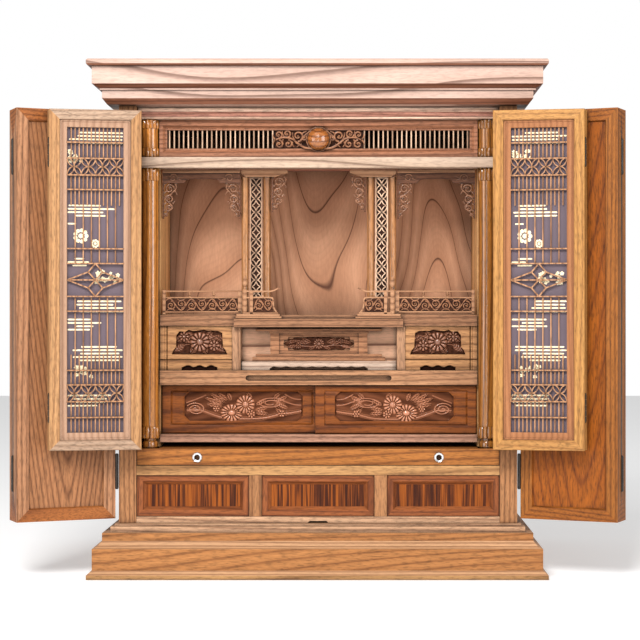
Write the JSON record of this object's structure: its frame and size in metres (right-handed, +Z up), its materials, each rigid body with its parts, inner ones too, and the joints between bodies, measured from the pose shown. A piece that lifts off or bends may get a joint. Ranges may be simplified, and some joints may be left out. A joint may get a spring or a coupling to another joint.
{
  "type": "household altar cabinet",
  "caption": "Wooden household altar cabinet with bi-fold outer and lattice doors, carved tiered interior, sliding doors, pull-out shelf and drawers.",
  "frame": {"origin": "middle of the base's underside, half way along the body's depth", "axes": "+X to the viewer's right, +Y from the front to the back, +Z up; the doors open towards -Y"},
  "size_m": [0.7212, 0.4308, 0.606],
  "materials": {
    "case_wood": "orange-brown open-grained hardwood under a satin clear finish",
    "pale_wood": "the same wood where it is paler, satin clear finish",
    "panel_wood": "brown flat-sawn panel with dark wavy growth rings, satin",
    "column_wood": "golden-brown turned wood, glossy clear finish",
    "carved_wood": "brown carved wood with darker recesses, semi-gloss",
    "dark_wood": "dark-stained carved wood, semi-gloss",
    "drawer_wood": "orange-brown frame around a panel with dark upright stripes",
    "ring_metal": "polished metal eyelet",
    "hinge_metal": "dark plated hinge",
    "gauze": "grey-lavender gauze with gold mist bands"
  },
  "bodies": {
    "cabinet": {"base": "case_wood", "cornice": "pale_wood", "side_left": "case_wood", "side_right": "case_wood", "back_board": "panel_wood", "floor_board": "case_wood", "drawer_rail_board": "case_wood", "drawer_divider_1": "case_wood", "drawer_divider_2": "case_wood", "column_left": "column_wood", "column_right": "column_wood", "inner_side_left": "case_wood", "inner_side_right": "case_wood", "cross_beam": "pale_wood", "header_board": "case_wood", "sill_board": "case_wood", "middle_shelf": "case_wood", "upper_shelf": "case_wood", "bay_back_panel": "panel_wood", "bay_ceiling": "case_wood", "transom": "pale_wood", "transom_scroll": "carved_wood", "ball": "column_wood", "bay_head_left": "carved_wood", "bay_head_right": "carved_wood", "post_cap_left": "carved_wood", "post_cap_right": "carved_wood", "interlace_strip_left": "carved_wood", "interlace_strip_right": "carved_wood", "post_left_outer": "column_wood", "post_left_inner": "column_wood", "post_right_outer": "column_wood", "post_right_inner": "column_wood", "railing_left": "carved_wood", "railing_right": "carved_wood", "small_panel_left": "case_wood", "small_panel_right": "case_wood", "divider_post_left": "pale_wood", "divider_post_right": "pale_wood", "altar_table": "pale_wood", "plaque": "dark_wood", "recess_back": "panel_wood"},
    "shelf": {"pull_out_shelf": "pale_wood", "ring_left": "ring_metal", "ring_right": "ring_metal"},
    "drawer_left": {"drawer_1": "drawer_wood"},
    "drawer_middle": {"drawer_2": "drawer_wood"},
    "drawer_right": {"drawer_3": "drawer_wood"},
    "slider_left": {"sliding_door_left": "case_wood"},
    "slider_right": {"sliding_door_right": "case_wood"},
    "outer_left_a": {"outer_door_left_a": "case_wood"},
    "outer_left_b": {"outer_door_left_b": "case_wood"},
    "outer_right_a": {"outer_door_right_a": "case_wood"},
    "outer_right_b": {"outer_door_right_b": "case_wood"},
    "lattice_left_a": {"lattice_door_left_a": "pale_wood"},
    "lattice_left_b": {"lattice_door_left_b": "pale_wood"},
    "lattice_right_a": {"lattice_door_right_a": "pale_wood"},
    "lattice_right_b": {"lattice_door_right_b": "pale_wood"}
  },
  "joints": [
    {"name": "doors_left", "type": "hinge", "parent": "cabinet", "child": "outer_left_a", "pos_m": [-0.2373, -0.186, 0.3], "axis": [0, 0, -1], "range_deg": [-156, 0]},
    {"name": "outer_fold_left", "type": "hinge", "parent": "outer_left_a", "child": "outer_left_b", "pos_m": [-0.35379, -0.21877, 0.3], "axis": [0, 0, -1], "range_deg": [-180, 0]},
    {"name": "lattice_left", "type": "hinge", "parent": "cabinet", "child": "lattice_left_a", "pos_m": [-0.213, -0.1863, 0.3], "axis": [0, 0, -1], "range_deg": [-160, 0]},
    {"name": "lattice_fold_left", "type": "hinge", "parent": "lattice_left_a", "child": "lattice_left_b", "pos_m": [-0.30952, -0.23383, 0.3], "axis": [0, 0, -1], "range_deg": [0, 170.5]},
    {"name": "doors_right", "type": "hinge", "parent": "cabinet", "child": "outer_right_a", "pos_m": [0.2373, -0.186, 0.3], "axis": [0, 0, 1], "range_deg": [-156, 0]},
    {"name": "outer_fold_right", "type": "hinge", "parent": "outer_right_a", "child": "outer_right_b", "pos_m": [0.35379, -0.21877, 0.3], "axis": [0, 0, 1], "range_deg": [-180, 0]},
    {"name": "lattice_right", "type": "hinge", "parent": "cabinet", "child": "lattice_right_a", "pos_m": [0.213, -0.1863, 0.3], "axis": [0, 0, 1], "range_deg": [-160, 0]},
    {"name": "lattice_fold_right", "type": "hinge", "parent": "lattice_right_a", "child": "lattice_right_b", "pos_m": [0.30952, -0.23383, 0.3], "axis": [0, 0, 1], "range_deg": [0, 170.5]},
    {"name": "shelf_slide", "type": "slide", "parent": "cabinet", "child": "shelf", "axis": [0, -1, 0], "range_m": [0, 0.2]},
    {"name": "drawer_left_slide", "type": "slide", "parent": "cabinet", "child": "drawer_left", "axis": [0, -1, 0], "range_m": [0, 0.24]},
    {"name": "drawer_middle_slide", "type": "slide", "parent": "cabinet", "child": "drawer_middle", "axis": [0, -1, 0], "range_m": [0, 0.24]},
    {"name": "drawer_right_slide", "type": "slide", "parent": "cabinet", "child": "drawer_right", "axis": [0, -1, 0], "range_m": [0, 0.24]},
    {"name": "slider_left_slide", "type": "slide", "parent": "cabinet", "child": "slider_left", "axis": [1, 0, 0], "range_m": [0, 0.183]},
    {"name": "slider_right_slide", "type": "slide", "parent": "cabinet", "child": "slider_right", "axis": [-1, 0, 0], "range_m": [0, 0.183]}
  ],
  "couplings": [
    {"joint": "outer_fold_left", "follows": "doors_left", "ratio": 1.1538},
    {"joint": "lattice_left", "follows": "doors_left", "ratio": 1.0256},
    {"joint": "lattice_fold_left", "follows": "doors_left", "ratio": -1.0929},
    {"joint": "outer_fold_right", "follows": "doors_right", "ratio": 1.1538},
    {"joint": "lattice_right", "follows": "doors_right", "ratio": 1.0256},
    {"joint": "lattice_fold_right", "follows": "doors_right", "ratio": -1.0929}
  ]
}
